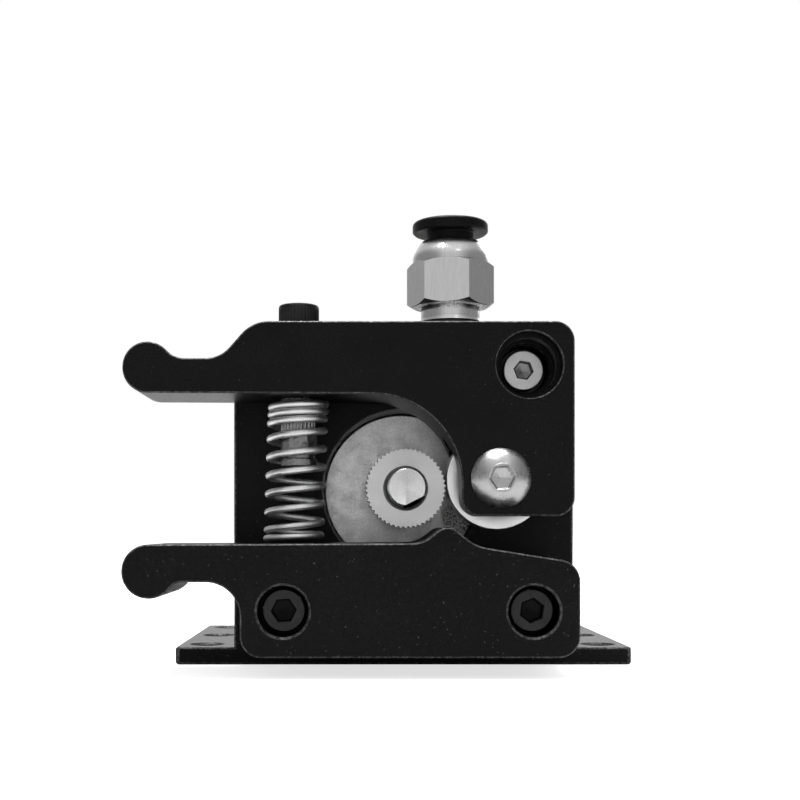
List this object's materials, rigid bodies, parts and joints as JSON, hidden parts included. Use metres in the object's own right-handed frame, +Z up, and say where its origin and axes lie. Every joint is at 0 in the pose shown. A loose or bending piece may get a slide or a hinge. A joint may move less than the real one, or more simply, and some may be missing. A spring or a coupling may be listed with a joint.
{
  "type": "extruder gear assembly",
  "caption": "Remote filament extruder drive: stepper motor on a bracket, knurled drive gear, sprung idler arm with finger lever, fixed drive block and push-in tube fitting.",
  "frame": {"origin": "centre of the base plate's bolt pattern, on its underside", "axes": "+X to the right seen from the drive side, +Y away from the drive side along the motor, +Z up"},
  "size_m": [0.0673, 0.061, 0.0591],
  "materials": {
    "black_anodised": "fine bead-blasted black anodising",
    "black_oxide": "black oxide on turned steel",
    "zinc_screw": "satin zinc",
    "chrome_screw": "polished",
    "gear_steel": "turned stainless steel",
    "shaft_steel": "turned",
    "bearing_steel": "ground",
    "motor_cover": "die cast, fine grain",
    "motor_stator": "stacked laminations",
    "copper_coil": "enamelled wire",
    "magnet": "sintered",
    "connector_plastic": "moulded",
    "spring_steel": "nickel-plated wire",
    "fitting_nickel": "nickel plate",
    "fitting_plastic": "moulded acetal",
    "seal_rubber": "nitrile",
    "bush_brass": "turned"
  },
  "bodies": {
    "bracket": {"mount_bracket": "black_anodised", "drive_block": "black_anodised", "block_screws": "black_oxide", "wall_screw": "black_oxide", "motor_front_cover": "motor_cover", "motor_stator": "motor_stator", "motor_coils": "copper_coil", "motor_rear_cover": "motor_cover", "motor_case_screws": "zinc_screw", "motor_connector": "connector_plastic", "motor_bearing_outer_rings": "bearing_steel", "motor_bearing_balls": "bearing_steel", "motor_wave_washer": "zinc_screw", "pivot_screw": "zinc_screw", "pivot_washer": "zinc_screw", "pivot_bush": "bush_brass", "arm_spring": "spring_steel"},
    "rotor": {"motor_shaft": "shaft_steel", "rotor_core": "motor_stator", "rotor_magnet": "magnet", "drive_gear": "gear_steel", "gear_grub_screw": "black_oxide", "motor_bearing_inner_rings": "bearing_steel"},
    "arm": {"idler_arm": "black_anodised", "idler_screw": "chrome_screw", "idler_washers": "zinc_screw", "idler_inner_ring": "bearing_steel", "idler_balls": "bearing_steel", "guide_screw": "black_oxide", "guide_sleeve": "chrome_screw", "fitting_body": "fitting_nickel", "fitting_seal": "seal_rubber", "fitting_insert": "fitting_nickel", "tube_o_ring": "seal_rubber", "grip_claw": "zinc_screw"},
    "idler": {"idler_outer_ring": "bearing_steel", "idler_shields": "bearing_steel"},
    "collet": {"release_collet": "fitting_plastic"}
  },
  "joints": [
    {"name": "arm_hinge", "type": "hinge", "parent": "bracket", "child": "arm", "pos_m": [0.0155, -0.02615, 0.0394], "axis": [0, -1, 0], "range_deg": [0, 12], "stiffness_Nm_per_rad": 2.1, "springref_deg": -5.04, "deforming": ["arm_spring"]},
    {"name": "rotor_spin", "type": "hinge", "parent": "bracket", "child": "rotor", "pos_m": [0, -0.02, 0.0239], "axis": [0, -1, 0], "continuous": true},
    {"name": "idler_spin", "type": "hinge", "parent": "arm", "child": "idler", "pos_m": [0.01185, -0.0247, 0.025], "axis": [0, -1, 0], "continuous": true},
    {"name": "collet_push", "type": "slide", "parent": "arm", "child": "collet", "axis": [0, 0, -1], "range_m": [0, 0.001], "stiffness_N_per_m": 400, "springref_m": -0.0005}
  ],
  "couplings": [
    {"joint": "idler_spin", "follows": "rotor_spin", "ratio": -0.8154}
  ]
}
